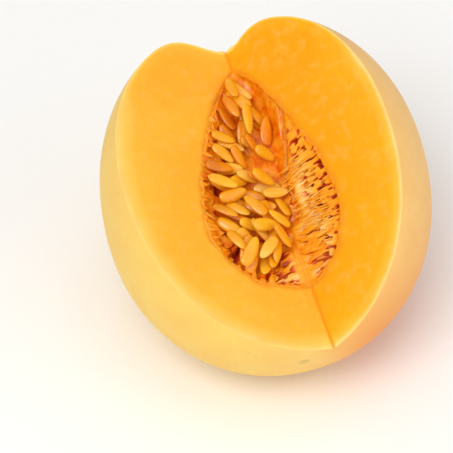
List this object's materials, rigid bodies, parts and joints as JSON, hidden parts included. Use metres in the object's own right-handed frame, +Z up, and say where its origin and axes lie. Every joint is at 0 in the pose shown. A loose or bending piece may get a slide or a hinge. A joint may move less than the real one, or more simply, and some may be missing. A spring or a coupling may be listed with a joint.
{
  "type": "cut melon",
  "caption": "Whole cantaloupe melon with a large wedge cut out, lying on its back; the open notch shows smooth orange flesh, fibrous pulp and a pile of loose seeds.",
  "frame": {"origin": "middle of the bounding box's bottom face, on the floor the melon rests on", "axes": "+Z up; -Y towards the viewer, the way the notch faces as it opens up and forward; +X to the right of the notch"},
  "size_m": [0.1414, 0.1528, 0.1265],
  "materials": {
    "melon": "moist smooth orange flesh inside a satin pale yellow rind",
    "pulp": "wet fibrous orange pulp",
    "seeds": "wet glossy golden seed coat"
  },
  "bodies": {
    "root": {"melon_body": "melon", "seed_pulp": "pulp", "seed_01": "seeds", "seed_02": "seeds", "seed_03": "seeds", "seed_04": "seeds", "seed_05": "seeds", "seed_06": "seeds", "seed_07": "seeds", "seed_08": "seeds", "seed_09": "seeds", "seed_10": "seeds", "seed_11": "seeds", "seed_12": "seeds", "seed_13": "seeds", "seed_14": "seeds", "seed_15": "seeds", "seed_16": "seeds", "seed_17": "seeds", "seed_18": "seeds", "seed_19": "seeds", "seed_20": "seeds", "seed_21": "seeds", "seed_22": "seeds", "seed_23": "seeds", "seed_24": "seeds", "seed_25": "seeds", "seed_26": "seeds", "seed_27": "seeds", "seed_28": "seeds", "seed_29": "seeds", "seed_30": "seeds", "seed_31": "seeds", "seed_32": "seeds", "seed_33": "seeds", "seed_34": "seeds", "seed_35": "seeds", "seed_36": "seeds", "seed_37": "seeds", "seed_38": "seeds", "seed_39": "seeds", "seed_40": "seeds", "seed_41": "seeds", "seed_42": "seeds", "seed_43": "seeds", "seed_44": "seeds", "seed_45": "seeds", "seed_46": "seeds", "seed_47": "seeds", "seed_48": "seeds", "seed_49": "seeds", "seed_50": "seeds", "seed_51": "seeds", "seed_52": "seeds", "seed_53": "seeds", "seed_54": "seeds", "seed_55": "seeds", "seed_56": "seeds", "seed_57": "seeds", "seed_58": "seeds"}
  },
  "joints": []
}
